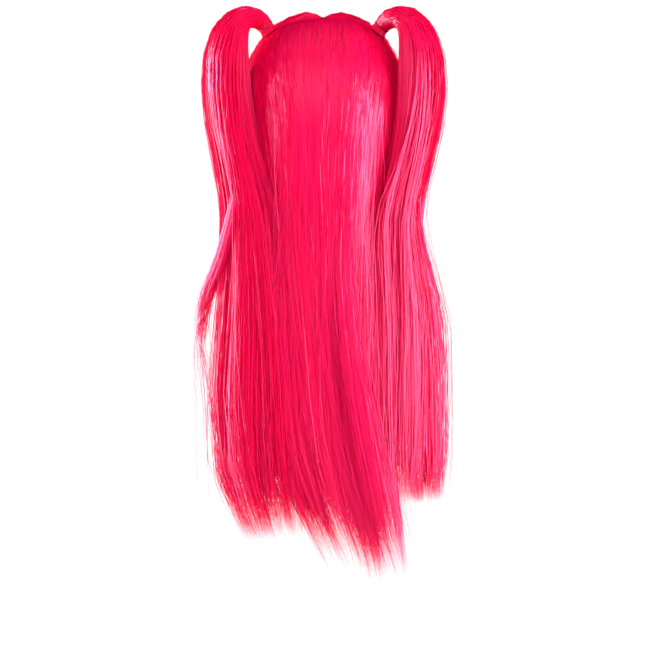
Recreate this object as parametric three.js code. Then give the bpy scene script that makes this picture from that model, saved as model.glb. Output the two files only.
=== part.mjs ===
// Long straight wig with two high bunches, in its worn form.
// Millimetres, +Z up, the face opening towards -Y and the left side towards +X.
// The origin is the inside of the cap's top, where the wig rests on the crown.
import * as THREE from "three";

// Gap between pieces that lie against each other, and between the hair and the cap it is sewn to
const GAP = 0.4;
const SEAT = 0.6;

// Room for the head inside the cap, from the crown down to the widest level
const HEAD = { halfWidth: 73, halfLength: 94, height: 86 };
const CAP_WALL = 1.6;
// Power of the sines and cosines that round the dome, where 1 gives an ellipsoid
const ROUND = 0.8;
// Length of the cap below the widest level, and the share by which it draws in there
const SKIRT = { length: 64, taper: 0.08 };
// Lower edge of the cap: turn in degrees from the back, drop from the crown with 1 at the widest level
const RIM = [
  { turn: 0, drop: 2.0 },
  { turn: 50, drop: 1.8 },
  { turn: 85, drop: 1.45 },
  { turn: 105, drop: 1.3 },
  { turn: 125, drop: 0.95 },
  { turn: 180, drop: 0.8 },
];

// Height of the hair's outer face off the head
const RISE = { crown: 14.7, side: 11, back: 18, root: 8, hairline: 5 };
// Distance from the part at which the front hair has come down to the side's rise
const FLANK = 55;
// Groove of the centre part
const PART = { depth: 4.5, halfWidth: 5.5 };
// Drop at which the hair starts round the crown, and at which the back hair is at its full rise
const ROOT_DROP = 0.02;
const FULL_DROP = 0.5;
// Strip of cap left bare along the front hairline
const BARE_DROP = 0.03;

// Loose back hair below the widest level: an outer and an inner half oval at each height.
// mid is the oval's middle in X; Y is its middle from front to back, W its half-width, D its depth.
const FALL = [
  { z: -118, mid: 0, outY: 2, outW: 80.5, outD: 106, inY: 0, inW: 74, inD: 94.5 },
  { z: -150, mid: 0, outY: 8, outW: 75, outD: 93, inY: 8, inW: 69, inD: 81.5 },
  { z: -186, mid: 0, outY: 30, outW: 64, outD: 68, inY: 26, inW: 55, inD: 56 },
  { z: -225, mid: 0, outY: 60, outW: 59, outD: 40, inY: 54, inW: 55, inD: 28 },
  { z: -270, mid: 0, outY: 82, outW: 58, outD: 23, inY: 70, inW: 56.5, inD: 16 },
  { z: -330, mid: 0, outY: 88, outW: 56.6, outD: 20, inY: 75, inW: 55.6, inD: 15 },
  { z: -390, mid: 0, outY: 88, outW: 55, outD: 20, inY: 76, inW: 54, inD: 15 },
  { z: -430, mid: -1.5, outY: 88, outW: 53, outD: 18, inY: 77, inW: 52, inD: 15 },
  { z: -460, mid: -7, outY: 88, outW: 51, outD: 16, inY: 79, inW: 50, inD: 14 },
  { z: -490, mid: -13, outY: 88, outW: 49, outD: 13, inY: 82, inW: 48, inD: 11 },
  { z: -520, mid: -23, outY: 88, outW: 44, outD: 10, inY: 85, inW: 43, inD: 8 },
  { z: -545, mid: -40, outY: 89, outW: 33, outD: 6, inY: 88, inW: 32.5, inD: 4.5 },
];
// Height below which the sections narrow to their tips, and the shares of width and thickness left there
const TIPS = { from: -430, share: 0.6, thin: 0.4 };
// Sections of the back hair: turns in degrees from the back, and the height of the tip
const SECTIONS = [
  { name: "back_hair_left", from: 20, to: 90, tip: -518 },
  { name: "back_hair_centre", from: -20, to: 20, tip: -532 },
  { name: "back_hair_right", from: -90, to: -20, tip: -545 },
];

// Bunches: middle of each oval section, with its half-width across and half-depth, on the left side
const ARCH = [
  { x: 54, y: 22.2, z: -3.6, wide: 8.8, deep: 8.8 },
  { x: 58.6, y: 22.8, z: 2.4, wide: 6.8, deep: 6.8 },
  { x: 65.5, y: 26, z: 7.6, wide: 9.8, deep: 10.5 },
  { x: 75.5, y: 33, z: 9, wide: 10.5, deep: 13.5 },
  { x: 86, y: 42, z: 5, wide: 14, deep: 17 },
  { x: 93.5, y: 51, z: -6, wide: 17.5, deep: 19.5 },
  { x: 98, y: 58, z: -23, wide: 21, deep: 21 },
  { x: 99.5, y: 65, z: -46, wide: 22.8, deep: 21.5 },
  { x: 99, y: 69.5, z: -75, wide: 22.8, deep: 21.5 },
  { x: 96, y: 71.5, z: -104, wide: 21.5, deep: 21 },
  { x: 90, y: 72, z: -134, wide: 20, deep: 20 },
  { x: 83.5, y: 72, z: -164, wide: 19, deep: 18.5 },
  { x: 80.5, y: 73, z: -186, wide: 19, deep: 17.5 },
];
const TAIL_LEFT = [
  { x: 80.5, y: 77, z: -212, wide: 19, deep: 16.5 },
  { x: 81.5, y: 83, z: -242, wide: 19.5, deep: 15 },
  { x: 81, y: 91, z: -278, wide: 22, deep: 13.5 },
  { x: 80.5, y: 94, z: -315, wide: 23, deep: 13 },
  { x: 82.5, y: 95, z: -362, wide: 26, deep: 12.5 },
  { x: 81.5, y: 95, z: -410, wide: 26.5, deep: 12 },
  { x: 76, y: 95, z: -450, wide: 27, deep: 10 },
  { x: 66, y: 94, z: -482, wide: 22, deep: 7 },
  { x: 52, y: 94, z: -512, wide: 12, deep: 3.5 },
];
const TAIL_RIGHT = [
  { x: 81, y: 77, z: -212, wide: 19.5, deep: 16.5 },
  { x: 84, y: 83, z: -242, wide: 21.5, deep: 15 },
  { x: 87.5, y: 91, z: -278, wide: 27, deep: 14 },
  { x: 88.5, y: 94, z: -325, wide: 30.5, deep: 13 },
  { x: 89, y: 95, z: -380, wide: 31.5, deep: 12.5 },
  { x: 90.5, y: 95, z: -430, wide: 32, deep: 11 },
  { x: 94, y: 94, z: -462, wide: 29, deep: 8 },
  { x: 96, y: 94, z: -484, wide: 22, deep: 4 },
];
// Thin lock that parts from the left tail and leans out to the side
const SHOULDER_LOCK = [
  { x: 101.6, y: 76, z: -210, wide: 1.5, deep: 3 },
  { x: 103.8, y: 77, z: -226, wide: 3, deep: 5 },
  { x: 107.6, y: 77, z: -240, wide: 5.4, deep: 6.5 },
  { x: 114, y: 76, z: -254, wide: 8.5, deep: 7 },
  { x: 118.5, y: 74, z: -268, wide: 8.8, deep: 6.5 },
  { x: 123, y: 72, z: -284, wide: 6.4, deep: 5 },
  { x: 127, y: 71, z: -308, wide: 2.5, deep: 2.5 },
];
// Elastic round each neck, centred on the second section of the arch
const TIE = { cord: 1.3, sides: 6, steps: 16 };
const TIE_ROW = 1;

// Facets: rows and columns of the walls, degrees to a column of the back hair, sides of the lofts
const CAP_GRID = { rows: 16, columns: 36 };
const FRONT_GRID = { rows: 12, columns: 9 };
const BACK_GRID = { domeRows: 10, columnTurn: 10 };
const LOFT_SIDES = 16;

const radians = (degrees) => (degrees * Math.PI) / 180;
const mix = (a, b, share) => a + (b - a) * share;
const rounded = (value) => Math.sign(value) * Math.abs(value) ** ROUND;

// Eased step from 0 to 1
function ease(value) {
  const t = Math.min(Math.max(value, 0), 1);
  return t * t * (3 - 2 * t);
}

// Drop of the cap's lower edge at a turn
function rimDrop(turn) {
  const folded = Math.abs(Math.atan2(Math.sin(turn), Math.cos(turn)));
  const next = RIM.findIndex((row, i) => i > 0 && folded <= radians(row.turn) + 1e-6);
  const [a, b] = [RIM[next - 1], RIM[next]];
  return mix(a.drop, b.drop, ease((folded - radians(a.turn)) / radians(b.turn - a.turn)));
}

// Point on a dome round the head, at a turn from the back, a drop from the crown and a rise off the head
function domePoint(turn, drop, rise) {
  const lean = (Math.min(drop, 1) * Math.PI) / 2;
  const below = Math.max(drop - 1, 0);
  const spread = rounded(Math.sin(lean)) * (1 - SKIRT.taper * below ** 2);
  const x = (HEAD.halfWidth + rise) * rounded(Math.sin(turn)) * spread;
  const y = (HEAD.halfLength + rise) * rounded(Math.cos(turn)) * spread;
  const z = (HEAD.height + rise) * rounded(Math.cos(lean)) - below * SKIRT.length - HEAD.height;
  return new THREE.Vector3(x, y, z);
}

// Rise of the front hair: high on both sides of the part, thin along the hairline
function frontRise(turn, drop, share) {
  const { x } = domePoint(turn, drop, RISE.crown);
  const body = mix(RISE.crown, RISE.side, ease(x / FLANK));
  const groove = PART.depth * Math.exp(-((x / PART.halfWidth) ** 2));
  return mix(body - groove, RISE.hairline, share ** 4);
}

// Rise of the back hair: low at its roots on the crown, full over the back of the head
function backRise(turn, drop) {
  const towardsBack = Math.cos(turn) ** 2;
  const full = mix(RISE.side, RISE.back, towardsBack * ease(drop));
  const rooted = towardsBack * (1 - ease(drop / FULL_DROP));
  return mix(full, RISE.root, rooted);
}

// Geometry from points and triangles, turned to face outwards
function closedGeometry(points, triangles) {
  let volume = 0;
  for (const [a, b, c] of triangles) {
    volume += points[a].dot(points[b].clone().cross(points[c]));
  }
  const facing = volume < 0 ? triangles.map(([a, b, c]) => [a, c, b]) : triangles;
  const geometry = new THREE.BufferGeometry().setFromPoints(points);
  geometry.setIndex(facing.flat());
  geometry.computeVertexNormals();
  return geometry;
}

// The two triangles of a quad, without any that a shared corner has closed
function quad(a, b, c, d) {
  const halves = [[a, b, c], [a, c, d]];
  return halves.filter(([i, j, k]) => i !== j && j !== k && k !== i);
}

// Closed wall between an outer and an inner face, each a grid of rows and columns.
// A round wall joins its last column to its first, and an apex closes its first row to one point.
// Both side edges are split along the same diagonal, so that neighbours fit against each other.
function wall({ rows, columns, point, round = false, apex = false }) {
  const points = [];
  const triangles = [];
  const face = (outer) => {
    const ids = [];
    for (let r = 0; r <= rows; r += 1) {
      ids.push([]);
      for (let c = 0; c <= columns; c += 1) {
        const shared = (apex && r === 0 && c > 0) || (round && c === columns);
        if (!shared) points.push(point(r, c / columns, outer));
        ids[r].push(shared ? ids[r][0] : points.length - 1);
      }
    }
    return ids;
  };
  const outer = face(true);
  const inner = face(false);
  for (let r = 0; r < rows; r += 1) {
    for (let c = 0; c < columns; c += 1) {
      triangles.push(...quad(outer[r][c], outer[r + 1][c], outer[r + 1][c + 1], outer[r][c + 1]));
      triangles.push(...quad(inner[r][c], inner[r][c + 1], inner[r + 1][c + 1], inner[r + 1][c]));
    }
  }
  for (let c = 0; c < columns; c += 1) {
    triangles.push(...quad(outer[rows][c], inner[rows][c], inner[rows][c + 1], outer[rows][c + 1]));
    if (!apex) triangles.push(...quad(outer[0][c], outer[0][c + 1], inner[0][c + 1], inner[0][c]));
  }
  for (let r = 0; r < rows && !round; r += 1) {
    triangles.push(...quad(outer[r + 1][0], outer[r][0], inner[r][0], inner[r + 1][0]));
    triangles.push(
      ...quad(outer[r + 1][columns], inner[r + 1][columns], inner[r][columns], outer[r][columns]),
    );
  }
  return closedGeometry(points, triangles);
}

// Middle of a section, on the left for side 1 and mirrored to the right for side -1
function middle(section, side) {
  return new THREE.Vector3(section.x * side, section.y, section.z);
}

// Direction along a row of sections at one of them
function heading(sections, i, side) {
  const before = middle(sections[Math.max(i - 1, 0)], side);
  const after = middle(sections[Math.min(i + 1, sections.length - 1)], side);
  return after.sub(before).normalize();
}

// Closed loft through oval sections
function loft(sections, side) {
  const points = [];
  const triangles = [];
  const rings = sections.map((section, i) => {
    const along = heading(sections, i, side);
    const across = new THREE.Vector3(0, 1, 0).cross(along).normalize();
    const through = along.clone().cross(across);
    const ring = [];
    for (let k = 0; k < LOFT_SIDES; k += 1) {
      const angle = (k / LOFT_SIDES) * Math.PI * 2;
      const corner = middle(section, side);
      corner.addScaledVector(across, section.wide * Math.cos(angle));
      corner.addScaledVector(through, section.deep * Math.sin(angle));
      ring.push(points.push(corner) - 1);
    }
    return ring;
  });
  const start = points.push(middle(sections[0], side)) - 1;
  const end = points.push(middle(sections.at(-1), side)) - 1;
  for (let k = 0; k < LOFT_SIDES; k += 1) {
    const next = (k + 1) % LOFT_SIDES;
    for (let i = 0; i + 1 < rings.length; i += 1) {
      triangles.push(...quad(rings[i][k], rings[i][next], rings[i + 1][next], rings[i + 1][k]));
    }
    triangles.push([start, rings[0][next], rings[0][k]]);
    triangles.push([end, rings.at(-1)[k], rings.at(-1)[next]]);
  }
  return closedGeometry(points, triangles);
}

// Knitted cap: a dome with a hairline, ear tabs and a nape edge
function capGeometry() {
  return wall({
    rows: CAP_GRID.rows,
    columns: CAP_GRID.columns,
    round: true,
    apex: true,
    point: (r, u, outer) => {
      const turn = u * Math.PI * 2;
      const drop = (r / CAP_GRID.rows) * rimDrop(turn);
      return domePoint(turn, drop, outer ? CAP_WALL : 0);
    },
  });
}

// Front hair on one side, from the part and the hairline back to the ear-to-ear line
function frontGeometry(side) {
  return wall({
    rows: FRONT_GRID.rows,
    columns: FRONT_GRID.columns,
    point: (r, u, outer) => {
      const turn = mix(Math.PI / 2, Math.PI, u);
      const share = r / FRONT_GRID.rows;
      const drop = mix(ROOT_DROP, rimDrop(turn) - BARE_DROP, share);
      const rise = outer ? frontRise(turn, drop, share) : CAP_WALL + SEAT;
      const p = domePoint(turn, drop, rise);
      return p.set(Math.max(p.x, GAP / 2) * side, Math.min(p.y, -GAP / 2), p.z);
    },
  });
}

// Half ovals of the loose back hair at a height, between the listed ones
function fallAt(z) {
  const next = Math.max(FALL.findIndex((row) => row.z <= z), 1);
  const [a, b] = [FALL[next - 1], FALL[next]];
  const share = (z - a.z) / (b.z - a.z);
  const columns = Object.keys(a).map((key) => [key, mix(a[key], b[key], share)]);
  return Object.fromEntries(columns);
}

// One section of the back hair, from the crown over the back of the head and down to its tip
function backGeometry(section) {
  const { domeRows, columnTurn } = BACK_GRID;
  const centreTurn = radians((section.from + section.to) / 2);
  const halfTurn = radians((section.to - section.from) / 2);
  // Turn across the section, kept a gap away from the next section at its edges
  const edgeTurn = (across, gapTurn) => {
    const turn = centreTurn + across * halfTurn;
    return Math.abs(turn) < Math.PI / 2 - gapTurn ? turn - across * gapTurn : turn;
  };
  const last = FALL.at(-1).z;
  return wall({
    rows: domeRows + FALL.length,
    columns: (section.to - section.from) / columnTurn,
    point: (r, u, outer) => {
      const across = u * 2 - 1;
      if (r <= domeRows) {
        const drop = mix(ROOT_DROP, 1, r / domeRows);
        const radius = HEAD.halfWidth * rounded(Math.sin((drop * Math.PI) / 2));
        const turn = edgeTurn(across, GAP / radius);
        const rise = outer ? backRise(turn, drop) : CAP_WALL + SEAT;
        const p = domePoint(turn, drop, rise);
        return p.setY(Math.max(p.y, GAP / 2));
      }
      const listed = FALL[r - domeRows - 1].z;
      const toTip = Math.max((listed - TIPS.from) / (last - TIPS.from), 0);
      const z = toTip > 0 ? mix(TIPS.from, section.tip, toTip) : listed;
      const row = fallAt(z);
      const turn = edgeTurn(across * mix(1, TIPS.share, toTip), GAP / row.outW);
      const inwards = outer ? 0 : mix(1, TIPS.thin, toTip ** 2);
      const half = mix(row.outW, row.inW, inwards);
      const depth = mix(row.outD, row.inD, inwards);
      const y = mix(row.outY, row.inY, inwards);
      return new THREE.Vector3(
        row.mid + half * rounded(Math.sin(turn)),
        y + depth * rounded(Math.cos(turn)),
        z,
      );
    },
  });
}

// Elastic ring round the neck of a bunch
function tieGeometry(side) {
  const neck = ARCH[TIE_ROW];
  const radius = Math.max(neck.wide, neck.deep) + GAP + TIE.cord;
  const ring = new THREE.TorusGeometry(radius, TIE.cord, TIE.sides, TIE.steps);
  const turned = new THREE.Quaternion().setFromUnitVectors(
    new THREE.Vector3(0, 0, 1),
    heading(ARCH, TIE_ROW, side),
  );
  return ring.applyQuaternion(turned).translate(neck.x * side, neck.y, neck.z);
}

const FINISH = {
  hair: { color: "#f5104f", roughness: 0.42, metalness: 0 },
  cap: { color: "#b3123f", roughness: 0.9, metalness: 0 },
  tie: { color: "#c40d3f", roughness: 0.8, metalness: 0 },
};

const wig = new THREE.Group();

function add(name, geometry, finish) {
  const mesh = new THREE.Mesh(geometry, new THREE.MeshStandardMaterial(finish));
  mesh.name = name;
  wig.add(mesh);
}

add("cap", capGeometry(), FINISH.cap);
add("front_hair_left", frontGeometry(1), FINISH.hair);
add("front_hair_right", frontGeometry(-1), FINISH.hair);
for (const section of SECTIONS) add(section.name, backGeometry(section), FINISH.hair);
add("tie_left", tieGeometry(1), FINISH.tie);
add("tie_right", tieGeometry(-1), FINISH.tie);
add("bunch_left", loft([...ARCH, ...TAIL_LEFT], 1), FINISH.hair);
add("bunch_right", loft([...ARCH, ...TAIL_RIGHT], -1), FINISH.hair);
add("shoulder_lock", loft(SHOULDER_LOCK, 1), FINISH.hair);

export default wig;
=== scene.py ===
# %% [markdown]
# # A long wig with two high bunches
#
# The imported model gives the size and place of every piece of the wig: a cap, front hair, back hair in
# three sections, two bunches with their elastics, and one lock that has slipped out to the side.
# Here each of those plain solids is replaced by what it stands for, which is mostly thousands of single
# strands. Everything is in the model's own frame: +Z is up, +Y is the back and +X is the left. Lengths
# below are in millimetres and become metres where a mesh is made.

import bpy
import numpy as np
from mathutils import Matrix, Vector


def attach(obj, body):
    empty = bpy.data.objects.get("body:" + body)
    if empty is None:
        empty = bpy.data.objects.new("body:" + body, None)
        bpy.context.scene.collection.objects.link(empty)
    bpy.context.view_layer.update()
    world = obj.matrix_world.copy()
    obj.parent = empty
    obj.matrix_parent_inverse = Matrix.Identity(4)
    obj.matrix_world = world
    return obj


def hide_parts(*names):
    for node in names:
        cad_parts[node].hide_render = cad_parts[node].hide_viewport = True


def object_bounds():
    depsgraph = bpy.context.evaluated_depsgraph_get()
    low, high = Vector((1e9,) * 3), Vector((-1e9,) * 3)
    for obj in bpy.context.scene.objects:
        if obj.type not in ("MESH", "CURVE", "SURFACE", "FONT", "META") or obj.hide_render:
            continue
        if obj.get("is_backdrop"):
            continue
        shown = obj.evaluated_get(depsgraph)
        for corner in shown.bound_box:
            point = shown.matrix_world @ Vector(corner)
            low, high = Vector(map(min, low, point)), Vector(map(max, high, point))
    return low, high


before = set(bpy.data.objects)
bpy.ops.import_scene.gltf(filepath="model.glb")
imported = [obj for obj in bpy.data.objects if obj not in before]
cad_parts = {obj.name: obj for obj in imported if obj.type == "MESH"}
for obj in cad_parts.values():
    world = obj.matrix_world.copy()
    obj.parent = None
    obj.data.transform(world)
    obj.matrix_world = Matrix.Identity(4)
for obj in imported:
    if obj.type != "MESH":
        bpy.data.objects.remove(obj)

MODEL_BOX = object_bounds()
MM = 0.001
print("nodes:", sorted(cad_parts))

# %% [markdown]
# ## A small language for materials
#
# A Blender material is a sheet of nodes joined by wires. Placing them one by one hides the sums that
# they do, so one class holds a wire and lets Python's own operators add Math nodes, and another holds
# the sheet and adds any other node from its type, its settings and what goes into its sockets.

# %% Wires and finishes
class Wire:
    """An output socket that can be used in sums; each sum adds a Math node."""

    def __init__(self, finish, socket):
        self.finish = finish
        self.socket = socket

    def maths(self, operation, first, second):
        return self.finish.node("ShaderNodeMath", {"operation": operation}, {0: first, 1: second})

    def __add__(self, other):
        return self.maths("ADD", self, other)

    def __radd__(self, other):
        return self.maths("ADD", other, self)

    def __sub__(self, other):
        return self.maths("SUBTRACT", self, other)

    def __rsub__(self, other):
        return self.maths("SUBTRACT", other, self)

    def __mul__(self, other):
        return self.maths("MULTIPLY", self, other)

    def __rmul__(self, other):
        return self.maths("MULTIPLY", other, self)


class Finish:
    """A material and the sheet of nodes that makes it."""

    def __init__(self, name):
        self.material = bpy.data.materials.new(name)
        self.material.use_nodes = True
        self.tree = self.material.node_tree
        self.tree.nodes.clear()

    def node(self, kind, settings=None, sockets=None, output=0):
        made = self.tree.nodes.new(kind)
        for key, value in (settings or {}).items():
            if key == "stops":
                for _ in range(len(value) - 2):
                    made.color_ramp.elements.new(0.5)
                for element, (place, colour) in zip(made.color_ramp.elements, value):
                    element.position = place
                    element.color = (*colour, 1)
            else:
                setattr(made, key, value)
        for key, value in (sockets or {}).items():
            if isinstance(value, Wire):
                self.tree.links.new(value.socket, made.inputs[key])
            else:
                made.inputs[key].default_value = value
        return Wire(self, made.outputs[output]) if len(made.outputs) else None

    def blend(self, mask, low, high):
        """A colour between two others, which are sockets 6 and 7 of a Mix node."""
        settings = {"data_type": "RGBA"}
        return self.node("ShaderNodeMix", settings, {0: mask, 6: low, 7: high}, output=2)

    def close(self, sockets):
        """The main shader and the output; gives the material."""
        shader = self.node("ShaderNodeBsdfPrincipled", None, sockets)
        self.node("ShaderNodeOutputMaterial", None, {"Surface": shader})
        return self.material


print("materials are written as sums on wires")

# %% [markdown]
# ## The hair's finish
#
# The fibre is a smooth plastic thread, dyed through, so colour varies from thread to thread and hardly
# along one. Each strand carries two numbers in its mesh: `tint`, its own shade with painted light and
# painted shade added for some strands, and `along`, how far a point is from root to tip. The finish reads
# only those, so a strand has one even colour, darkened a little at the root as painted shade from its
# neighbours, and paled at the tip as painted light through a thin lock.

# %% Hair finish
# random tone from thread to thread; the palest stops lean towards the sheen's colour as painted glints
HAIR_STOPS = [
    # tint, then red, green and blue
    (0.00, (0.72, 0.0, 0.050)),
    (0.35, (0.86, 0.0, 0.068)),
    (0.65, (0.95, 0.0006, 0.092)),
    (0.85, (1.00, 0.0050, 0.128)),
    (1.00, (1.00, 0.0240, 0.185)),
]
# painted shade: strands are darkened near the root, where their neighbours shade them
ROOT_SHADE = (0.74, 0.0, 0.054, 1)
ROOT_DEPTH, ROOT_END = 0.2, 0.05
# painted light: tips are paled as if light came through a thin lock
TIP_PAINTED_LIGHT = 0.06
HAIR_GLOSS, TIP_WEAR, DARK_WEAR = 0.31, 0.08, 0.06
SHEEN = (1.0, 0.52, 0.95, 1)


def hair_finish():
    finish = Finish("hair_fibre")
    tint = finish.node("ShaderNodeAttribute", {"attribute_name": "tint"}, output=2)
    along = finish.node("ShaderNodeAttribute", {"attribute_name": "along"}, output=2)
    dye_and_painted_light = finish.node("ShaderNodeValToRGB", {"stops": HAIR_STOPS}, {"Fac": tint + along * TIP_PAINTED_LIGHT})
    fade = {"Value": along, 2: ROOT_END, 3: ROOT_DEPTH, 4: 0.0}
    to_root = finish.node("ShaderNodeMapRange", None, fade)
    colour = finish.blend(to_root, dye_and_painted_light, ROOT_SHADE)
    return finish.close({
        "Base Color": colour,
        "Roughness": HAIR_GLOSS + along * along * along * TIP_WEAR + (1 - tint) * DARK_WEAR,
        "Specular IOR Level": 1.0,
        "Specular Tint": SHEEN,
    })


HAIR = hair_finish()
print("hair finish:", len(HAIR.node_tree.nodes), "nodes")

# %% [markdown]
# ## A strand, and a great many of them
#
# A strand is a thin thread with three sides and a point at each end, which is the least that still has
# thickness from every side. Blender's own hair system would draw such threads at render time, but it
# leaves no mesh to reuse. So the points are worked out in arrays, and each bundle becomes one mesh of
# closed threads. The map named OFBake places a strand by its tint and along values, so equal colours
# share a place. A thread half a millimetre wide is finer than a pixel, and light on real hair follows
# the whole lock, so one flat side of each thread faces out of its lock, with a small tilt of its own.
# The normals are set side by side, smooth along the thread and square across it.

# %% Strand mesh
SIDES = 3
CORNER_TURN = np.radians([60, 180, 300])[:, None]
SIDE_TURN = np.radians([120, 240, 360])[:, None]
NEAR_ROOT, NEAR_TIP = 0.006, 0.985
MAP_EDGE, MAP_WIDTH = 0.02, 0.004


def unit(vectors):
    return vectors / np.maximum(np.linalg.norm(vectors, axis=-1, keepdims=True), 1e-9)


def mix(low, high, share):
    return low + (high - low) * share


def ease(value):
    share = np.clip(value, 0, 1)
    return share * share * (3 - 2 * share)


def steps_along(points):
    """Shares of a strand's length at its points; the first and last lie close to the ends."""
    return np.concatenate([[0], np.linspace(NEAR_ROOT, NEAR_TIP, points - 2), [1]])


def strand_axes(heading, outward, tilt):
    """Two directions square to each heading: the outside of the lock, tilted, and the one beside it."""
    outside = unit(outward - heading * np.sum(outward * heading, axis=-1, keepdims=True))
    aside = np.cross(heading, outside)
    tilt = tilt[:, None, None]
    return outside * np.cos(tilt) + aside * np.sin(tilt), aside * np.cos(tilt) - outside * np.sin(tilt)


def strand_faces(rings):
    """One strand's faces: fans at root and tip, then rings of squares, each with its rings and sides."""
    def ring(r, k):
        return 1 + r * SIDES + k

    sides = [(k, (k + 1) % SIDES) for k in range(SIDES)]
    last = 1 + rings * SIDES
    fans = [(0, ring(0, b), ring(0, a)) for a, b in sides]
    fans += [(ring(rings - 1, a), ring(rings - 1, b), last) for a, b in sides]
    fan_rings = np.repeat([0, rings - 1], 3 * SIDES)
    squares = [
        (ring(r, a), ring(r, b), ring(r + 1, b), ring(r + 1, a))
        for r in range(rings - 1)
        for a, b in sides
    ]
    square_rings = (np.arange(rings - 1)[:, None, None] + np.tile([0, 0, 1, 1], (SIDES, 1))).ravel()
    fan_sides = np.tile(np.repeat(np.arange(SIDES), 3), 2)
    square_sides = np.tile(np.repeat(np.arange(SIDES), 4), rings - 1)
    return (np.array(fans), fan_rings, fan_sides), (np.array(squares), square_rings, square_sides)


def strand_mesh(name, paths, radius, tint, outward, tilt):
    """One mesh of closed strands: paths (strand, point, xyz) and radius (strand, point) in mm."""
    count, points, _ = paths.shape
    rings = points - 2
    heading = unit(np.gradient(paths, axis=1))
    outside, aside = (axis[:, 1:-1, None] for axis in strand_axes(heading, outward, tilt))
    round_about = outside * np.cos(CORNER_TURN) + aside * np.sin(CORNER_TURN)
    side_normals = outside * np.cos(SIDE_TURN) + aside * np.sin(SIDE_TURN)
    ring_points = paths[:, 1:-1, None] + radius[:, 1:-1, None, None] * round_about
    corners = np.concatenate([paths[:, :1], ring_points.reshape(count, -1, 3), paths[:, -1:]], axis=1)
    steps = (np.arange(count) * corners.shape[1])[:, None, None]
    faces, normals = [], []
    for corner_numbers, on_ring, on_side in strand_faces(rings):
        faces += (corner_numbers + steps).reshape(-1, corner_numbers.shape[1]).tolist()
        normals.append(side_normals[:, on_ring, on_side].reshape(-1, 3))
    mesh = bpy.data.meshes.new(name)
    mesh.from_pydata(corners.reshape(-1, 3) * MM, [], faces)
    along = steps_along(points)
    corner_along = np.concatenate([along[:1], np.repeat(along[1:-1], SIDES), along[-1:]])
    corner_side = np.concatenate([[0], np.tile(np.arange(SIDES) - 1.0, rings), [0]])
    per_corner = {
        "tint": np.repeat(np.clip(tint, 0, 1), corners.shape[1]),
        "along": np.tile(corner_along, count),
    }
    for key, values in per_corner.items():
        mesh.attributes.new(key, "FLOAT", "POINT").data.foreach_set("value", values.astype(np.float32))
    used = np.empty(len(mesh.loops), dtype=np.int32)
    mesh.loops.foreach_get("vertex_index", used)
    across = mix(MAP_EDGE, 1 - MAP_EDGE, per_corner["tint"]) + np.tile(corner_side, count) * MAP_WIDTH
    flat = np.stack([across, per_corner["along"]], axis=1)[used]
    mesh.uv_layers.new(name="OFBake").data.foreach_set("uv", flat.astype(np.float32).ravel())
    mesh.shade_smooth()
    mesh.normals_split_custom_set(np.concatenate(normals))
    mesh.materials.append(HAIR)
    return mesh


TRIANGLES = {}


def place(name, mesh, nodes, slot):
    """Puts a finished mesh in the scene on the fixed body, for the plain solids that it stands for."""
    piece = bpy.data.objects.new(name, mesh)
    bpy.context.scene.collection.objects.link(piece)
    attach(piece, "root")
    if nodes:
        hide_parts(*nodes)
    mesh.calc_loop_triangles()
    TRIANGLES[name] = len(mesh.loop_triangles)
    print(name, "triangles:", TRIANGLES[name])
    return piece


print("a strand of 16 points has", 2 * SIDES * (16 - 2), "triangles")

# %% [markdown]
# ## Combing
#
# Straight hair never hangs as an even curtain. Neighbouring strands cling together, a few at the root
# and whole locks at the tip, and each lock leans its own way. So every strand first gets the path that
# the form of the piece asks for, and is then drawn towards the middle strand of its lock, small locks
# first and large ones after, more strongly the further it is from the root. Strands at the edge of a
# lock are cut shorter than those in its middle, so locks end in points, and a few strands stray.

# %% Combing tools
STRAND_TILT, LOCK_TILT = 0.17, 0.05
LOCK_SHADE = 0.05
# painted light: stray strands are paled as if they caught the light
STRAY_SIZE, STRAY_PAINTED_LIGHT = 0.18, 0.15
STRAND_SWAY, STRAND_TURNS = 2.3, 4
LOCK_TURNS, STRAY_TURNS = 3, 2
WAVE, WAVE_DEPTH = 1.3 * np.pi, 0.3
LOOSE_FROM, LOOSE_OVER = 0.25, 0.5
BEND_FROM = 0.45
SCATTER, SCATTER_FROM = [2.2, 1.2, 0], 0.6
ROOT_FINE, TIP_FINE = 0.75, 0.85


def sway(rng, position, size, turns, lock=None):
    """Slow sideways curves that start from nothing, in mm; strands of one lock share theirs."""
    count = len(position) if lock is None else lock.max() + 1
    pick = np.arange(count) if lock is None else lock
    swing = np.zeros((*position.shape, 3))
    for number in range(1, turns + 1):
        phase = rng.uniform(0, 2 * np.pi, (count, 1, 2))[pick]
        reach = rng.normal(0, size / number, (count, 1, 2))[pick]
        wave = np.sin(position[..., None] * number * WAVE + phase) - np.sin(phase)
        swing[..., :2] += wave * reach
    swing[..., 1] *= WAVE_DEPTH
    return swing * ease(position * 1.6 - 0.3)[..., None]


def nearest_lock(rng, paths, number, level):
    """Picks middle strands at random; gives them, each strand's lock and how near its edge it lies."""
    count, points, _ = paths.shape
    chosen = rng.choice(count, number, replace=False)
    row = int(level * (points - 1))
    apart = np.linalg.norm(paths[:, None, row] - paths[None, chosen, row], axis=2)
    lock = np.argmin(apart, axis=1)
    apart = np.min(apart, axis=1)
    usual = np.bincount(lock, apart) / np.bincount(lock)
    return chosen, lock, np.clip(apart / (2 * usual[lock] + 0.1), 0, 1)


def gather(paths, chosen, lock, strength):
    """Draws strands sideways, each at its own height, towards the middle strand of their lock."""
    target = paths.copy()
    for number, middle in enumerate(chosen):
        members = lock == number
        down = np.maximum.accumulate(-paths[middle, :, 2])
        for axis in (0, 1):
            target[members, :, axis] = np.interp(-paths[members, :, 2], down, paths[middle, :, axis])
    return mix(paths, target, strength[..., None])


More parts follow.
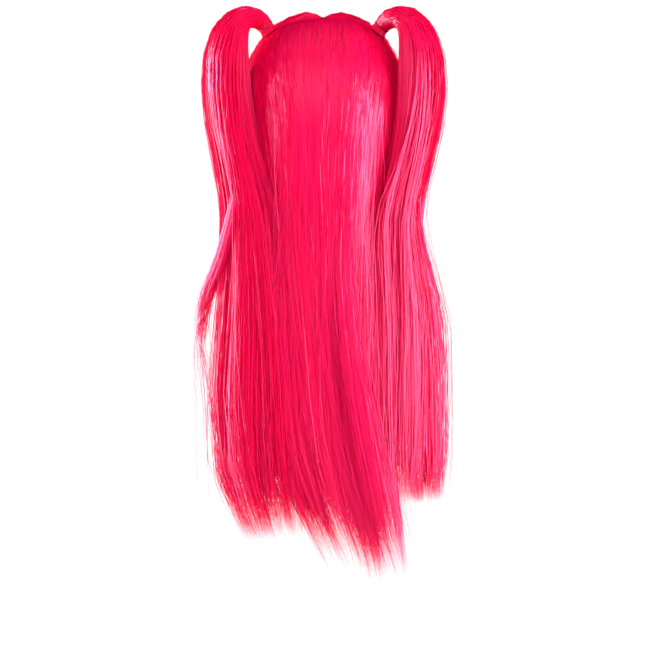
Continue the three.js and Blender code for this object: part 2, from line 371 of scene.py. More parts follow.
def comb(rng, paths, progress, locks):
    """Sways and gathers a bundle; gives paths, shades, tilts and how far out in its locks a strand is.

    Progress is 0 at the root and 1 at the tip of the longest hair. Each entry of locks is the number of
    locks, where they start, how firmly they hold at the tip, how far they sway, and how far their tips
    bend sideways: the middle and the spread.
    """
    count, points, _ = paths.shape
    along = np.tile(steps_along(points), (count, 1))
    shade, rim, tilt = np.zeros(count), np.zeros(count), rng.normal(0, STRAND_TILT, count)
    loose = ease((progress - LOOSE_FROM) / LOOSE_OVER)
    paths = paths + sway(rng, along, STRAND_SWAY, STRAND_TURNS) * loose[..., None]
    for number, start, hold, lean, (bend, spread) in locks:
        begin = start + rng.uniform(-0.1, 0.1, number)
        firm = hold * rng.uniform(0.5, 1.2, number)
        chosen, lock, edge = nearest_lock(rng, paths, number, rng.uniform(0.55, 0.8))
        rim = rim + hold * edge
        begin, firm = begin[lock, None], firm[lock, None] * rng.uniform(0.5, 1.0, (count, 1))
        paths = gather(paths, chosen, lock, firm * ease((progress - begin) / (1 - begin)))
        swing = sway(rng, progress, lean, LOCK_TURNS, lock)
        paths = paths + swing - swing.mean(axis=0)
        tip_bend = rng.normal(bend, spread, number)[lock, None]
        paths[..., 0] += tip_bend * ease((progress - BEND_FROM) / (1 - BEND_FROM))
        shade = shade + rng.normal(0, LOCK_SHADE, number)[lock]
        tilt = tilt + rng.normal(0, LOCK_TILT, number)[lock]
    return paths, shade, tilt, rim


def trimmed(paths, keep):
    """Cuts each path at a share of its steps and spreads its points over what is left."""
    at = keep[:, None] * np.arange(paths.shape[1])
    low = np.minimum(at.astype(int), paths.shape[1] - 2)
    strand = np.arange(len(paths))[:, None]
    return mix(paths[strand, low], paths[strand, low + 1], (at - low)[..., None])


def loosen(rng, paths, share, size):
    """Lets single strands stray: all a little at the tip, and a share of them all along."""
    count, points, _ = paths.shape
    along = np.tile(steps_along(points), (count, 1))
    strays = rng.random(count) < share
    at_tip = ease((along - SCATTER_FROM) / (1 - SCATTER_FROM))
    scatter = rng.normal(0, 1, (count, 1, 3)) * SCATTER * at_tip[..., None]
    return paths + scatter + sway(rng, along, size, STRAY_TURNS) * strays[:, None, None], strays


def thickness(rng, count, points, size):
    """Strand radius in mm along each strand: full near the root and fine at the tip."""
    along = steps_along(points)[None, :]
    profile = mix(ROOT_FINE, 1.0, ease(along * 8)) * mix(1.0, TIP_FINE, ease(along * 1.6 - 0.6))
    return size * profile * rng.uniform(0.85, 1.15, (count, 1))


print("combing tools ready")

# %% [markdown]
# ## The form of the cap and of the falling hair
#
# The back hair follows the cap as far as its widest line and then hangs free, first drawn in under the
# cap and then flat. Both forms are rounded ovals. On the cap, `turn` is the angle from the middle of the
# back and `drop` goes from 0 at the crown to 1 at the widest line. Below it, a short table gives the
# ovals of the outer and inner face at each height. Points that sway too far are held to these forms.

# %% Cap and fall
HALF_WIDTH, HALF_LENGTH, HEIGHT = 73.0, 94.0, 86.0
HALF = np.array([HALF_WIDTH, HALF_LENGTH, HEIGHT])
CENTRE = np.array([0.0, 0.0, -HEIGHT])
ROUND = 0.8
BLOCK = 2 / ROUND
SKIRT, TAPER = 64.0, 0.08
CAP_WALL, CLEAR = 1.6, 4.0
ON_CAP = np.array([5.0, 7.0, 5.5])
BACK_RISE = np.array([11.0, 18.0, 12.0])
SWAY_ROOM, SWAY_GIVE = 4.0, 0.12
FALL_END, FALL_STEP, FALL_WINDOW = 470, 2.0, 33
FALL = np.array([
    # z, middle, then y, half width, half depth of the outer face and of the inner face
    (-86, 0, 0, 84, 112, 0, 78, 101),
    (-118, 0, 2, 80.5, 106, 0, 77.5, 100),
    (-150, 0, 8, 75, 93, 8, 72.5, 86),
    (-186, 0, 30, 64, 68, 26, 55, 56),
    (-225, 0, 60, 59, 40, 54, 55, 28),
    (-270, 0, 82, 58, 23, 70, 56.5, 16),
    (-330, 0, 88, 56.6, 20, 75, 55.6, 15),
    (-390, 0, 88, 55, 20, 76, 54, 15),
    (-430, -1.5, 88, 53, 18, 77, 52, 15),
    (-460, -7, 88, 51, 16, 79, 50, 14),
    (-490, -13, 88, 49, 13, 82, 48, 11),
    (-520, -23, 88, 44, 10, 85, 43, 8),
    (-545, -40, 89, 33, 6, 88, 32.5, 4.5),
])


def rounded(value):
    return np.sign(value) * np.abs(value) ** ROUND


def dome(turn, drop, rise):
    """Points over the cap's form, in mm; rise stands off it in x, y and z."""
    lean = np.minimum(drop, 1) * np.pi / 2
    below = np.maximum(drop - 1, 0)
    spread = np.sin(lean) ** ROUND * (1 - TAPER * below ** 2)
    x = (HALF_WIDTH + rise[..., 0]) * rounded(np.sin(turn)) * spread
    y = (HALF_LENGTH + rise[..., 1]) * rounded(np.cos(turn)) * spread
    z = (HEIGHT + rise[..., 2]) * np.cos(lean) ** ROUND - below * SKIRT - HEIGHT
    return np.stack([x, y, z], axis=-1)


def smooth_fall():
    """The fall's table in small steps, with its corners rounded off."""
    depth = np.arange(0, FALL_END, FALL_STEP)
    window = np.hanning(FALL_WINDOW)
    window = window / window.sum()
    reach = len(window) // 2
    columns = []
    for column in FALL.T[1:]:
        listed = np.interp(depth, FALL[0, 0] - FALL[:, 0], column)
        padded = np.pad(listed, reach, mode="reflect", reflect_type="odd")
        columns.append(np.convolve(padded, window, mode="valid"))
    return depth, columns


FALL_DEPTH, FALL_COLUMNS = smooth_fall()


def cap_reach(direction, rise):
    """How far the cap's form, stood off by rise, lies from its centre in each direction."""
    upper = np.concatenate([direction[..., :2], np.maximum(direction[..., 2:], 0)], axis=-1)
    return np.sum((np.abs(upper) / (HALF + rise)) ** BLOCK, axis=-1, keepdims=True) ** (-1 / BLOCK)


def cap_top(x, y):
    """Height of the bare cap above a place near the crown."""
    left = 1 - (np.abs(x) / HALF_WIDTH) ** BLOCK - (np.abs(y) / HALF_LENGTH) ** BLOCK
    return HEIGHT * np.maximum(left, 0) ** (1 / BLOCK) - HEIGHT


def turn_between(start, end, share):
    """Directions on the way from one direction to another; share is (strand, point)."""
    angle = np.arccos(np.clip(np.sum(start * end, axis=-1), -1, 1))[:, None]
    low, high = np.sin((1 - share) * angle), np.sin(share * angle)
    return unit(low[..., None] * start[:, None] + high[..., None] * end[:, None])


def hang(turn, depth, inwards):
    """Points of the hanging back hair, depth in mm below the widest line."""
    middle, y0, w0, d0, y1, w1, d1 = (np.interp(depth, FALL_DEPTH, c) for c in FALL_COLUMNS)
    x = middle + mix(w0, w1, inwards) * rounded(np.sin(turn))
    y = mix(y0, y1, inwards) + mix(d0, d1, inwards) * rounded(np.cos(turn))
    return np.stack([x, y, -HEIGHT - depth], axis=-1)


def kept_in(points, depth):
    """Holds swaying locks to the width of the fall, and a little more."""
    middle, _, half, *_ = (np.interp(depth, FALL_DEPTH, c) for c in FALL_COLUMNS)
    side = (points[..., 0] - middle) / (half + SWAY_ROOM)
    past = np.maximum(np.abs(side) - 1, 0)
    side = np.sign(side) * (np.minimum(np.abs(side), 1) + SWAY_GIVE * np.tanh(past / SWAY_GIVE))
    return np.concatenate([(middle + side * (half + SWAY_ROOM))[..., None], points[..., 1:]], axis=-1)


def clear_of_cap(points):
    """Moves stray points that have got into the cap out to a little way off it."""
    away = points - CENTRE
    height = away[..., 2:]
    level = np.concatenate([away[..., :2], np.maximum(height, 0)], axis=-1)
    far = np.linalg.norm(level, axis=-1, keepdims=True)
    reach = cap_reach(level / far, CLEAR) * (1 - TAPER * np.clip(-height / SKIRT, 0, 1) ** 2)
    push = np.where(height > -SKIRT, np.maximum(reach / far, 1), 1)
    return CENTRE + away * np.concatenate([push, push, np.where(height > 0, push, 1)], axis=-1)


def back_outward(points):
    """Outward directions of the back hair, from the ovals of the cap and of the fall."""
    from_centre = points - CENTRE
    half = HALF + BACK_RISE
    depth = -from_centre[..., 2]
    middle, y0, w0, d0, *_ = (np.interp(depth, FALL_DEPTH, c) for c in FALL_COLUMNS)
    x, y = (points[..., 0] - middle) / w0, (points[..., 1] - y0) / d0
    z = np.maximum(from_centre[..., 2], 0) / half[2]
    share = np.stack([x, y, z], axis=-1)
    size = np.stack([w0, d0, half[2] + 0 * w0], axis=-1)
    return unit(np.sign(share) * np.abs(share) ** (BLOCK - 1) / size)


print("fall rows:", len(FALL), "smoothed to", len(FALL_DEPTH))

# %% [markdown]
# ## The back hair
#
# On the cap the back hair is sewn on in rows, so it has body: fine strands outside, which take the
# light, and more behind them that are only seen in the gaps. The inner ones are made fewer and thicker,
# and given darker tints as painted shade for lying deep in the hair. Turns are spread evenly by length
# round the cap, not by angle, or the middle would be thin.

# %% Back hair
SECTIONS = [
    # name, from turn, to turn, tip height, sideways bend of the tips
    ("back_hair_left", 20, 90, -536, -7),
    ("back_hair_centre", -20, 20, -556, -6),
    ("back_hair_right", -90, -20, -566, 0),
]
BACK_STRANDS, BACK_POINTS = 2600, 13
SPACING, STAGGER = 1.45, 0.21
TINT_MIDDLE, TINT_SPREAD = 0.56, 0.10
NECK = np.array([54.0, 22.2, -3.6])
NECK_TURN = np.radians(60)
EAR_TAB = np.array([79.0, 3.0, -58.0])
LAYER_SHARES = [0.72, 0.16, 0.12]
ROOT_IN, ROOT_LENGTH, FILLER_SHORTER = 0.3, 16, 50
BACK_RAGGED, BACK_STRAYS, BACK_STRAYING = 95, 0.16, 7.0
EDGE_CUT, CHANCE_CUT, WAVE_CUT = 0.5, 0.6, 0.06
CUT_WAVES = (9.0, 17.0, 31.0)
GIRTH_STEPS = 721
girth_turns = np.radians(np.linspace(-90, 90, GIRTH_STEPS))
girth = dome(girth_turns, np.ones(GIRTH_STEPS), np.tile(BACK_RISE, (GIRTH_STEPS, 1)))
girth_length = np.append(0, np.cumsum(np.linalg.norm(np.diff(girth, axis=0), axis=1)))


def even_turns(rng, count, low, high):
    """Turns between two angles, evenly spread by length round the cap."""
    ends = np.interp(np.radians([low, high]), girth_turns, girth_length)
    return np.interp(rng.uniform(*ends, count), girth_length, girth_turns)


def layers(rng, count):
    """How far in each strand lies, its radius in mm and its tint: outer, filling and inner strands."""
    kind = rng.choice(3, count, p=LAYER_SHARES)
    inwards = np.choose(kind, [
        rng.uniform(-0.04, 0.3, count), rng.uniform(0.22, 0.5, count), rng.uniform(0.8, 1.0, count),
    ])
    size = np.choose(kind, [rng.uniform(0.2, 0.3, count), rng.uniform(0.5, 0.8, count), 0.34])
    # filling and inner strands get darker tints: painted shade for their place inside the hair
    tint = np.choose(kind, [TINT_MIDDLE, 0.52, 0.5]) + rng.normal(0, TINT_SPREAD, count)
    return inwards, size, tint, kind


def staggered(key, along):
    """Steps moved to and fro from strand to strand, so that the corners of neighbours don't line up."""
    return along + (key[:, None] % 1 - 0.5) * STAGGER * along * (1 - along)


def back_roots(rng, turn):
    """Roots on the line from neck to neck over the crown, and from each neck down to the ear tab."""
    count = len(turn)
    size = np.minimum(np.abs(turn), NECK_TURN)
    x = 0.72 * (HALF_WIDTH + BACK_RISE[0]) * rounded(np.sin(size))
    y = mix(8, NECK[1], (x / NECK[0]) ** 2) + rng.uniform(-5, 12, count)
    crown = np.stack([x, y, cap_top(x, y)], axis=1)
    down = ease((np.abs(turn) - NECK_TURN) / (np.pi / 2 - NECK_TURN))[:, None]
    roots = mix(crown, EAR_TAB + rng.normal(0, 5, (count, 3)), down)
    roots[:, 0] *= np.sign(turn)
    return roots


def ragged(rng, place, rim, size):
    """How much shorter each strand is than the longest: least in the middle of its lock."""
    waves = sum(np.sin(place * step + rng.uniform(0, 6)) for step in CUT_WAVES)
    chance = rng.random(len(place)) ** 0.4
    return size * (EDGE_CUT * rim + CHANCE_CUT * chance + WAVE_CUT * (len(CUT_WAVES) + waves))


def back_hair(name, low, high, tip, bend, seed):
    rng = np.random.default_rng(seed)
    count, points = BACK_STRANDS, BACK_POINTS
    turn = even_turns(rng, count, max(low - 2, -90), min(high + 2, 90))
    inwards, size, tint, kind = layers(rng, count)
    start = unit(back_roots(rng, turn) - CENTRE)
    widest = dome(turn, np.ones(count), np.tile(BACK_RISE, (count, 1))) - CENTRE
    over = np.arccos(np.clip(np.sum(start * unit(widest), axis=1), -1, 1)) * HALF_LENGTH
    longest = over - HEIGHT - tip
    length = longest - (kind == 1) * FILLER_SHORTER
    along = steps_along(points)[None, :]
    travel = length[:, None] * staggered(turn * 700, along) ** SPACING
    share = np.minimum(travel / over[:, None], 1)
    direction = turn_between(start, unit(widest), share)
    depth_in = mix(ROOT_IN, inwards[:, None], ease(travel / ROOT_LENGTH))
    rise = mix(BACK_RISE, ON_CAP, depth_in[..., None])
    on_cap = CENTRE + direction * cap_reach(direction, rise)
    below = travel - over[:, None]
    hanging = hang(turn[:, None], np.maximum(below, 0), inwards[:, None])
    paths = np.where((below > 0)[..., None], hanging, on_cap)
    locks = [
        (210, 0.25, 0.4, 1.2, (0, 3)),
        (42, 0.55, 0.8, 4.0, (bend, 6)),
        (10, 0.6, 0.6, 7.0, (bend, 6)),
    ]
    paths, shade, tilt, rim = comb(rng, paths, travel / longest[:, None], locks)
    paths = kept_in(paths, -HEIGHT - paths[..., 2])
    shorter = ragged(rng, turn, rim, BACK_RAGGED)
    paths = trimmed(paths, (1 - shorter / length) ** (1 / SPACING))
    paths, strays = loosen(rng, paths, BACK_STRAYS, BACK_STRAYING)
    paths = clear_of_cap(paths)
    size = thickness(rng, count, points, np.where(strays, STRAY_SIZE, size)[:, None])
    # strays are paled as painted light
    tint = tint + shade + strays * STRAY_PAINTED_LIGHT
    mesh = strand_mesh(name + "_strands", paths, size, tint, back_outward(paths), tilt)
    return place(name + "_strands", mesh, [name], "hair")


for seed, section in enumerate(SECTIONS, start=11):
    back_hair(*section, seed)

# %% [markdown]
# ## The bunches
#
# A bunch leaves the cap through an elastic, arches up and over under its own spring and hangs down the
# back. Its middle line is a table of points with the half width and half depth of the hair there; a
# strand keeps its place round that line from neck to tip. The same arch serves both sides, the tails
# differ. Neighbouring strands have their points at staggered places, or the arch would show corners.

# %% Bunch paths
ARCH = [
    # x, y, z, half width, half depth
    (54, 22.2, -3.6, 8.8, 8.8),
    (58.6, 22.8, 2.4, 6.8, 6.8),
    (65.5, 26, 9.5, 9.8, 10.5),
    (75.5, 33, 12, 10.5, 13.5),
    (86, 42, 8, 14, 17),
    (93.5, 51, -4, 17.5, 19.5),
    (98, 58, -22, 21, 21),
    (98.5, 65, -46, 21.8, 21.5),
    (97, 69.5, -75, 21, 21.5),
    (93, 71.5, -104, 19, 21),
    (86.5, 72, -134, 17, 20),
    (80, 72, -164, 16, 18.5),
    (77, 73, -186, 16, 17.5),
]
TAIL_LEFT = [
    (76, 77, -212, 15.5, 16.5),
    (75, 83, -242, 14, 15),
    (73.5, 91, -278, 15.5, 13.5),
    (75, 94, -315, 18.5, 13),
    (75.5, 95, -362, 22, 12.5),
    (76.5, 95, -410, 25.5, 12),
    (72, 95, -450, 26, 10),
    (63, 94, -485, 21, 7),
    (52, 94, -528, 13, 3.5),
]
TAIL_RIGHT = [
    (78.5, 77, -212, 17, 16.5),
    (82.5, 83, -242, 20, 15),
    (87.5, 91, -278, 27, 14),
    (88.5, 94, -325, 30.5, 13),
    (89, 95, -380, 31.5, 12.5),
    (90.5, 95, -430, 32, 11),
    (94, 94, -462, 29, 8),
    (96, 94, -484, 22, 4),
]
FLATNESS = 2.2
ROW_STEPS = 12


class Bundle:
    """A middle line with widths, smoothed through its listed rows."""

    def __init__(self, rows, side):
        rows = np.array(rows, dtype=float)
        rows[:, 0] *= side
        self.last = len(rows) - 1
        self.share = np.linspace(0, self.last, self.last * ROW_STEPS + 1)
        self.line = np.stack([self.curve(column) for column in rows.T], axis=1)
        heading = unit(np.gradient(self.line[:, :3], axis=0))
        self.across = unit(np.cross([0.0, 1, 0], heading))
        self.through = np.cross(heading, self.across)

    def curve(self, column):
        """One column drawn through its values without corners."""
        padded = np.concatenate([[2 * column[0] - column[1]], column, [2 * column[-1] - column[-2]]])
        row = np.minimum(self.share.astype(int), self.last - 1)
        t = self.share - row
        a, b, c, d = (padded[row + step] for step in range(4))
        return b + 0.5 * t * (c - a + t * (2 * a - 5 * b + 4 * c - d + t * (3 * (b - c) + d - a)))

    def at(self, share, values):
        return np.stack([np.interp(share, self.share, column) for column in values.T], axis=-1)

    def points(self, share, angle, reach):
        """Points at a share of the way, an angle round the middle line and a reach out from it."""
        line = self.at(share, self.line)
        side = self.at(share, self.across) * (np.cos(angle) * reach * line[..., 3])[..., None]
        deep = self.at(share, self.through) * (np.sin(angle) * reach * line[..., 4])[..., None]
        return line[..., :3] + side + deep

    def outward(self, share, angle):
        """Outward directions at the same places; hair lies in layers, flatter than a round rope."""
        line = self.at(share, self.line)
        side = self.at(share, self.across) * (np.cos(angle) * line[..., 4])[..., None]
        deep = self.at(share, self.through) * (np.sin(angle) * line[..., 3] * FLATNESS)[..., None]
        return unit(side + deep)


print("arch rows:", len(ARCH), "left tail:", len(TAIL_LEFT), "right tail:", len(TAIL_RIGHT))

# %% Bunches
BUNCH_STRANDS, BUNCH_POINTS = 1500, 20
BUNCH_FULL, BUNCH_CORE, BUNCH_SIZE = 1.05, 0.92, 1.1
BUNCH_TWIST, FILLER_ROWS = 0.25, 1.5
BUNCH_STRAYS, BUNCH_STRAYING = 0.10, 4.5


def bunch(name, rows, side, bends, ragged_rows, turned, seed):
    rng = np.random.default_rng(seed)
    count, points = BUNCH_STRANDS, BUNCH_POINTS
    bundle = Bundle(rows, side)
    inwards, size, tint, kind = layers(rng, count)
    reach = BUNCH_FULL * np.sqrt(1 - BUNCH_CORE * np.clip(inwards, 0, 1))
    angle = rng.uniform(0, 2 * np.pi, count)
    end = bundle.last - (kind == 1) * FILLER_ROWS
    along = steps_along(points)[None, :]
    share = end[:, None] * staggered(angle * 5, along) ** SPACING
    turn = angle[:, None] + BUNCH_TWIST * along
    paths = bundle.points(share, turn, reach[:, None] + 0 * share)
    locks = [
        (120, 0.5, 0.4, 1.4, (0, 3)),
        (26, 0.78, 0.75, 3.5, bends),
        (9, 0.82, 0.5, 4.0, bends),
    ]
    paths, shade, tilt, rim = comb(rng, paths, share / bundle.last, locks)
    keep = (1 - ragged(rng, angle, rim, ragged_rows) / end) ** (1 / SPACING)
    paths, strays = loosen(rng, trimmed(paths, keep), BUNCH_STRAYS, BUNCH_STRAYING)
    paths = clear_of_cap(paths)
    outward = trimmed(bundle.outward(share, turn), keep)
    size = thickness(rng, count, points, np.where(strays, STRAY_SIZE, size * BUNCH_SIZE)[:, None])
    # strays are paled as painted light
    tint = tint + shade + strays * STRAY_PAINTED_LIGHT
    mesh = strand_mesh(name + "_strands", paths, size, tint, outward, tilt + turned)
    return place(name + "_strands", mesh, [name], "hair")


bunch("bunch_left", ARCH + TAIL_LEFT, 1, (-6, 6), 1.6, 0.7, 21)
bunch("bunch_right", ARCH + TAIL_RIGHT, -1, (6, 4), 1.4, -0.43, 22)

# %% [markdown]
# ## The front hair
#
# From the centre part and from the hairline the front hair is combed flat over the cap into each neck.
# Every strand takes the shortest way over the cap from its own root to the elastic, rises over the
# hair below it and sinks again into the neck, which leaves two soft mounds with the part between them.

# %% Front hair
FRONT_STRANDS, FRONT_POINTS = 750, 10
RIM_TURN = [0, 50, 85, 105, 125, 180]
RIM_DROP = [2.0, 1.8, 1.45, 1.3, 0.95, 0.8]
FRONT_SHARES = [0.42, 0.28, 0.30]
PART_LENGTH, PART_HALF = 91, 3
NECK_FORM = np.array([0.6, 1.0, 0.75]) * 7.5
MOUND, FLANK = 20.5, 11.5
PART_RISE, HAIRLINE_RISE, ROOT_RISE = 12.5, 2.0, 1.8
SINK_FROM, FRONT_SWAY = 0.78, 0.5


def front_roots(rng, count):
    """Roots on the left half: along the part, along the hairline and over the cap between them."""
    kind = rng.choice(3, count, p=FRONT_SHARES)[:, None]
    part_x = rng.uniform(-1.6, 2.5, count)
    part_y = -PART_LENGTH * np.sin(rng.uniform(-0.18, 1.5, count))
    part = np.stack([part_x, part_y, cap_top(part_x, part_y)], axis=1)
    turn = np.radians(rng.uniform(95, 179, count))
    rim = np.interp(np.degrees(turn), RIM_TURN, RIM_DROP)
    still = np.zeros((count, 3))
    edge = dome(turn, rim - rng.uniform(0.02, 0.08, count), still)
    over = dome(turn, rim * rng.uniform(0.15, 0.95, count), still)
    return np.where(kind == 0, part, np.where(kind == 1, edge, over))


def front_hair(name, side, seed):
    rng = np.random.default_rng(seed)
    count, points = FRONT_STRANDS, FRONT_POINTS
    roots = front_roots(rng, count)
    ring = rng.uniform(0, 2 * np.pi, count)
    wide = np.sqrt(rng.uniform(0, 1, count))
    on_ring = np.stack([np.cos(ring), np.sin(ring), np.cos(ring)], axis=1)
    ends = NECK + NECK_FORM * wide[:, None] * on_ring
    start, end = unit(roots - CENTRE), unit(ends - CENTRE)
    along = steps_along(points)[None, :]
    direction = turn_between(start, end, along + np.zeros((count, 1)))
    way = np.arccos(np.clip(np.sum(start * end, axis=1), -1, 1))[:, None] * HEIGHT
    body = mix(MOUND, FLANK, ease(np.abs(direction[..., 0]) * 1.15))
    body = body * mix(1.0, 0.62, ease(direction[..., 1] * 4 + 0.4))
    body = body * mix(1.0, 0.5, ease((-direction[..., 1] - 0.45) / 0.45))
    layer = 1 - 0.5 * rng.uniform(0, 1, (count, 1)) ** 2
    at_part = mix(PART_RISE, HAIRLINE_RISE, ease((-roots[:, 1:2] - 35) / 45))
    at_root = np.where(roots[:, :1] < PART_HALF, at_part, ROOT_RISE)
    rise = mix(at_root, body * layer, ease(along * way / ROOT_LENGTH))
    paths = CENTRE + direction * cap_reach(direction, rise[..., None])
    into_neck = ends[:, None] + (1 - along)[..., None] * 40 * (direction - end[:, None])
    paths = mix(paths, into_neck, ease((along - SINK_FROM) / (1 - SINK_FROM))[..., None])
    shade, tilt = rng.normal(0, 2 * LOCK_SHADE, count), rng.normal(0, STRAND_TILT, count)
    paths = paths + sway(rng, along + np.zeros((count, 1)), FRONT_SWAY, LOCK_TURNS)
    size = thickness(rng, count, points, rng.uniform(0.28, 0.38, count)[:, None])
    # painted shade: lower layers, lying under the others, get darker tints
    tint = mix(0.35, TINT_MIDDLE, layer[:, 0]) + rng.normal(0, TINT_SPREAD, count) + shade
    outward = back_outward(paths)
    for vectors in (paths, outward):
        vectors[..., 0] *= side
    mesh = strand_mesh(name + "_strands", paths, size, tint, outward, tilt)
    return place(name + "_strands", mesh, [name], "hair")


front_hair("front_hair_left", 1, 31)
front_hair("front_hair_right", -1, 32)

# %% [markdown]
# ## The lock at the side
#
# One lock has slid out of the left tail and lies away from it. It is thin enough to see through, and
# below it single wisps carry on down.

# %% Side lock
SHOULDER_LOCK = [
    (88, 84, -168, 5, 7),
    (92, 87, -190, 6, 7),
    (97, 88, -212, 7, 7),
    (102.5, 87, -232, 7.5, 7),
    (109, 84, -250, 7.5, 6),
    (116, 80, -267, 7, 5),
    (121, 77, -287, 6, 4),
    (124.5, 75, -318, 3.5, 2.5),
]
WISPS = [
    (121, 76, -345, 10, 5),
    (116, 78, -385, 15, 6),
    (114, 79, -430, 17, 6),
    (110, 79, -485, 19, 6),
]
LOCK_FACES = np.array([0.72, 0.68, 0.1])
LOCK_STRANDS, LOCK_POINTS = 220, 16
# painted light: the lock's tint is paler than the rest of the hair, for the light it catches
LASTING, LOCK_PAINTED_LIGHT_TINT = 0.2, 0.74
WISP_SWAY, WISP_TURNS = 2.2, 5


def side_lock(seed):
    rng = np.random.default_rng(seed)
    count, points = LOCK_STRANDS, LOCK_POINTS
    bundle = Bundle(SHOULDER_LOCK + WISPS, 1)
    lasting = rng.random(count) < LASTING
    wisp_end = bundle.last - rng.uniform(0, 3.5, count)
    lock_end = len(SHOULDER_LOCK) - 1 - rng.uniform(0, 2.2, count)
    end = np.where(lasting, wisp_end, lock_end)
    angle = rng.uniform(0, 2 * np.pi, count)[:, None]
    reach = np.sqrt(rng.uniform(0.05, 1, count))
    along = steps_along(points)[None, :]
    share = end[:, None] * along
    paths = bundle.points(share, angle + 0 * share, reach[:, None] + 0 * share)
    locks = [(40, 0.3, 0.4, 1.0, (0, 2)), (9, 0.5, 0.2, 1.5, (0, 2))]
    paths, shade, tilt, _ = comb(rng, paths, share / bundle.last, locks)
    swing = sway(rng, share / bundle.last, WISP_SWAY, WISP_TURNS)
    paths = paths + swing * np.where(lasting, 1.2, 0.5)[:, None, None]
    size = thickness(rng, count, points, np.where(lasting, 0.17, 0.26)[:, None])
    # paler tint as painted light
    tint = LOCK_PAINTED_LIGHT_TINT + rng.normal(0, TINT_SPREAD, count) + shade
    outward = np.broadcast_to(LOCK_FACES, paths.shape)
    mesh = strand_mesh("shoulder_lock_strands", paths, size, tint, outward, tilt)
    return place("shoulder_lock_strands", mesh, ["shoulder_lock"], "hair")


side_lock(41)

# %% [markdown]
# ## Stitching at the crown
#
# A little of the sewing shows where the rows of hair part at the right of the crown: a short zigzag,
# and lower down a row of plain stitches. Each stitch is a short dark thread, so the strand mesh serves
# again. Pale bands along each thread are painted glints.

# %% Crown stitching
ZIGZAG = {"x": -19.0, "top": 0.0, "bottom": -22.0, "pitch": 2.3, "half": 1.5, "rise": 1.3}
STITCH_ROW = {"x": -23.5, "top": -54.0, "bottom": -74.0, "pitch": 2.6, "length": 1.7, "rise": 1.1}
THREAD, THREAD_POINTS, THREAD_ARCH = 0.42, 6, 0.35
THREAD_DARK, THREAD_PAINTED_GLINT = (0.14, 0.0, 0.012, 1), (0.42, 0.0, 0.03, 1)


def thread_finish():
    finish = Finish("sewing_thread")
    along = finish.node("ShaderNodeAttribute", {"attribute_name": "along"}, output=2)
    # painted glints: pale bands repeat along each stitch
    painted_glints = finish.node("ShaderNodeMath", {"operation": "SINE"}, {0: along * 40.0})
    colour = finish.blend(painted_glints * 0.5 + 0.5, THREAD_DARK, THREAD_PAINTED_GLINT)
    return finish.close({"Base Color": colour, "Roughness": 0.5})


def on_back(x, z, rise):
    """The back hair's outer face at a place seen from behind, stood off by rise."""
    half = HALF + BACK_RISE
    up = np.maximum(z + HEIGHT, 0) / half[2]
    left = 1 - (np.abs(x) / half[0]) ** BLOCK - up ** BLOCK
    points = np.stack([x, half[1] * np.maximum(left, 0) ** (1 / BLOCK), z], axis=-1)
    return points + rise * back_outward(points)


def crown_stitching():
    levels = np.arange(ZIGZAG["top"], ZIGZAG["bottom"], -ZIGZAG["pitch"])
    swing = np.where(np.arange(len(levels)) % 2, 1, -1) * ZIGZAG["half"]
    corners = on_back(ZIGZAG["x"] + swing, levels, ZIGZAG["rise"])
    tops = np.arange(STITCH_ROW["top"], STITCH_ROW["bottom"], -STITCH_ROW["pitch"])
    x = np.full(len(tops), STITCH_ROW["x"])
    bottoms = tops - STITCH_ROW["length"]
    starts = np.concatenate([corners[:-1], on_back(x, tops, STITCH_ROW["rise"])])
    ends = np.concatenate([corners[1:], on_back(x, bottoms, STITCH_ROW["rise"])])
    along = steps_along(THREAD_POINTS)[None, :, None]
    paths = mix(starts[:, None], ends[:, None], along)
    paths[..., 1] += THREAD_ARCH * np.sin(np.pi * along[..., 0])
    count = len(paths)
    size = np.full((count, THREAD_POINTS), THREAD)
    outward = back_outward(paths)
    mesh = strand_mesh("crown_stitching", paths, size, np.zeros(count), outward, np.zeros(count))
    mesh.materials.clear()
    mesh.materials.append(thread_finish())
    return place("crown_stitching", mesh, [], "hair")


crown_stitching()

# %% [markdown]
# ## The cap
#
# All the hair is sewn to a knitted stretch cap, seen only from the front and from below. It is a thin
# domed wall with a bound edge. Inside, the rows that hold the hair stand out as low ribs that run round
# it; they are moved points of the same wall. The knit itself is far too fine to model, so two crossed
# waves raise it in the finish. The same waves darken its low places as painted shade and pale its high
# ones as painted light, over a random cloud of tone.

# %% Cap finish
KNIT_SCALE = 130.0
KNIT_DARK_AND_SHADED, KNIT_PALE_AND_LIT = (0.16, 0.002, 0.02, 1), (0.5, 0.012, 0.07, 1)


def cap_finish():
    finish = Finish("knit_cap")
    where = finish.node("ShaderNodeTexCoord", None, None, output=3)
    fine = {"Vector": where, "Scale": KNIT_SCALE}
    across = finish.node("ShaderNodeTexWave", {"bands_direction": "X"}, fine, output=1)
    upward = finish.node("ShaderNodeTexWave", {"bands_direction": "Z"}, fine, output=1)
    cloud = finish.node("ShaderNodeTexNoise", None, {"Vector": where, "Scale": 45.0, "Detail": 4.0})
    knit = across * upward
    # painted shade in the knit's low places and painted light on its high ones, with random tone from the
    # cloud
    colour = finish.blend(knit * 0.7 + cloud * 0.3, KNIT_DARK_AND_SHADED, KNIT_PALE_AND_LIT)
    raised = finish.node("ShaderNodeBump", None, {"Strength": 0.5, "Distance": 0.0004, "Height": knit})
    return finish.close({"Base Color": colour, "Roughness": 0.8 + cloud * 0.15, "Normal": raised})


CAP = cap_finish()
print("cap finish:", len(CAP.node_tree.nodes), "nodes")

# %% Cap
CAP_COLUMNS, CAP_ROWS = 120, 64
CAP_TOP, CAP_INSIDE = 0.012, 0.1
ROW_PITCH, ROW_HEIGHT, FIRST_ROW = 0.115, 0.7, 0.1
BINDING, BINDING_RISE = 0.05, 0.5


